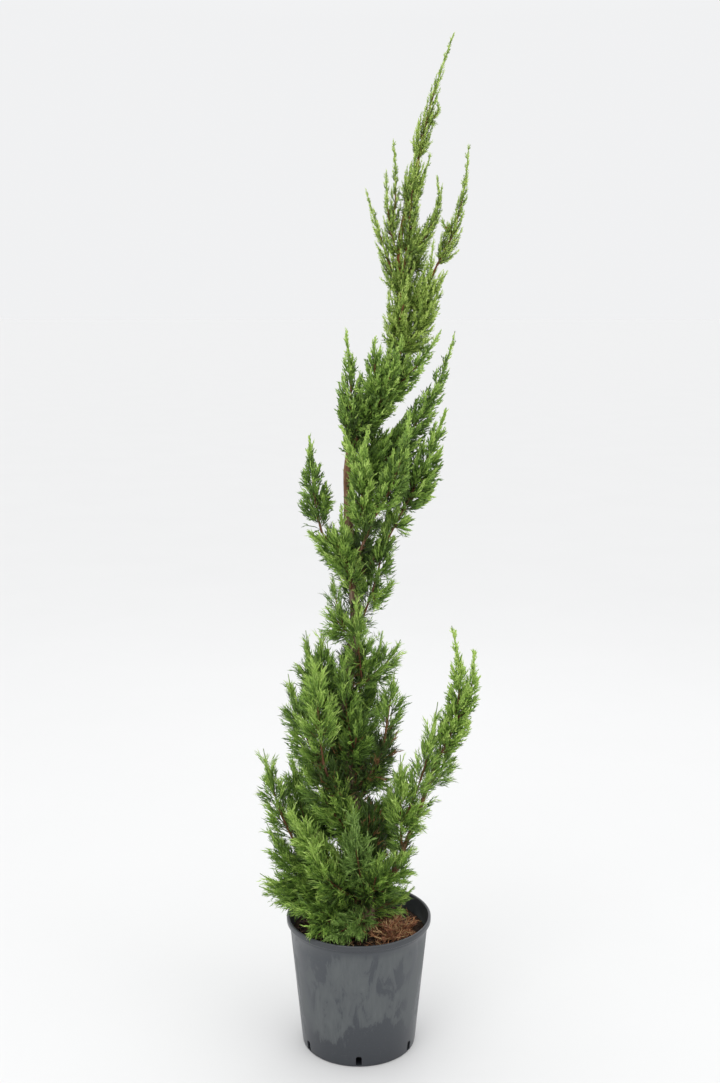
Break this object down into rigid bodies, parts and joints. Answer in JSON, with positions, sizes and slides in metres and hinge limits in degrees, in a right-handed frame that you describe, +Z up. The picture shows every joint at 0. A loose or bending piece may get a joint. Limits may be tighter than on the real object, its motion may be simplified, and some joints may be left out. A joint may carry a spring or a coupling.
{
  "type": "potted chinese juniper",
  "caption": "Slender upright Chinese juniper with upswept, pointed plumes of scale-leaved foliage on a leaning trunk, growing in a round nursery pot.",
  "frame": {"origin": "centre of the pot's flat underside", "axes": "+Z up along the plant's height, -Y towards the front of the picture, +X to its right"},
  "size_m": [0.4597, 0.3077, 2.0313],
  "materials": {
    "pot_plastic": "satin",
    "potting_soil": "matte",
    "bark": "matte",
    "foliage": "matte"
  },
  "bodies": {
    "root": {"bough_back_low": "bark", "bough_left_low": "bark", "bough_mid_front": "bark", "bough_mid_left": "bark", "bough_mid_right": "bark", "bough_right_low": "bark", "bough_top_right": "bark", "bough_waist_left": "bark", "bough_waist_right": "bark", "cloud_front": "foliage", "cloud_right": "foliage", "fan_left": "foliage", "leader": "foliage", "low_back": "foliage", "low_back_left": "foliage", "low_back_right": "foliage", "low_far_left": "foliage", "low_front": "foliage", "low_front_left": "foliage", "low_front_right": "foliage", "low_left_bright": "foliage", "low_left_centre": "foliage", "low_left_upper": "foliage", "low_skirt_left": "foliage", "mid_back": "foliage", "mid_front": "foliage", "mid_left": "foliage", "mid_right": "foliage", "pot": "pot_plastic", "right_inner": "foliage", "right_outer": "foliage", "right_spire": "foliage", "shoulder_left": "foliage", "shoulder_right": "foliage", "skirt_front": "foliage", "skirt_front_left": "foliage", "skirt_right": "foliage", "soil": "potting_soil", "top_back": "foliage", "top_left": "foliage", "top_outer_left": "foliage", "top_outer_right": "foliage", "top_right": "foliage", "trunk": "bark", "upper_back": "foliage", "upper_back_right": "foliage", "upper_front": "foliage", "upper_front_left": "foliage", "upper_left": "foliage", "upper_right": "foliage", "upper_right_low": "foliage", "waist_back_left": "foliage", "waist_back_right": "foliage", "waist_front": "foliage", "waist_front_left": "foliage", "waist_left": "foliage", "waist_outer_left": "foliage", "waist_right": "foliage", "waist_right_low": "foliage", "waist_right_top": "foliage"}
  },
  "joints": []
}
